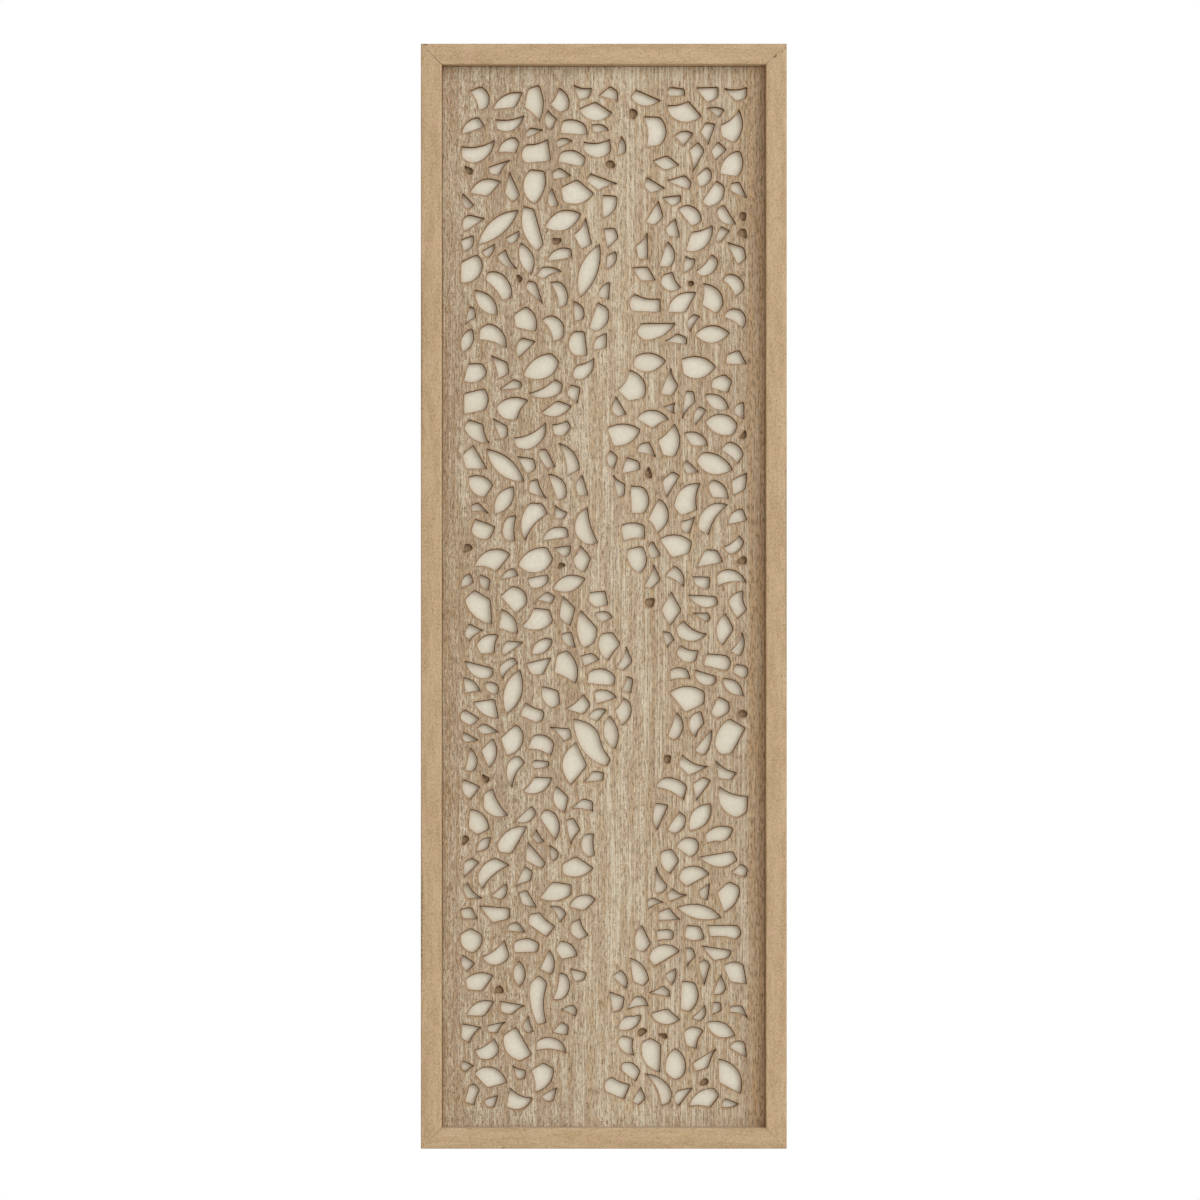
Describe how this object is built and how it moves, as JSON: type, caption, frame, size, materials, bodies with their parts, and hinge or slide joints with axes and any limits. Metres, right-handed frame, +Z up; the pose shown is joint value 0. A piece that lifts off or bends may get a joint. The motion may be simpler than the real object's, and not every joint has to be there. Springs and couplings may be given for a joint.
{
  "type": "laser-cut wall panel",
  "caption": "Tall framed wall panel: a limewashed wood board with leaf-like laser-cut openings around a bare trunk, in front of a cream board, hung by a sawtooth hanger.",
  "frame": {"origin": "middle of the hanger's wall side, 5 mm below the panel's top edge, midway across", "axes": "+X across to the viewer's right, +Y into the wall, so the front faces -Y, +Z up along the panel's length"},
  "size_m": [0.3, 0.0331, 0.906],
  "materials": {
    "frame_wood": "light golden tan stain, satin",
    "washed_veneer": "limewashed open-grain veneer, matt",
    "cream_board": "cream paint, matt",
    "zinc_steel": "zinc plated"
  },
  "bodies": {
    "root": {"frame_rail_left": "frame_wood", "frame_rail_top": "frame_wood", "frame_rail_right": "frame_wood", "frame_rail_bottom": "frame_wood", "fretwork_panel": "washed_veneer", "backing_board": "cream_board", "hanger_plate": "zinc_steel", "hanger_nail_left": "zinc_steel", "hanger_nail_right": "zinc_steel"}
  },
  "joints": []
}
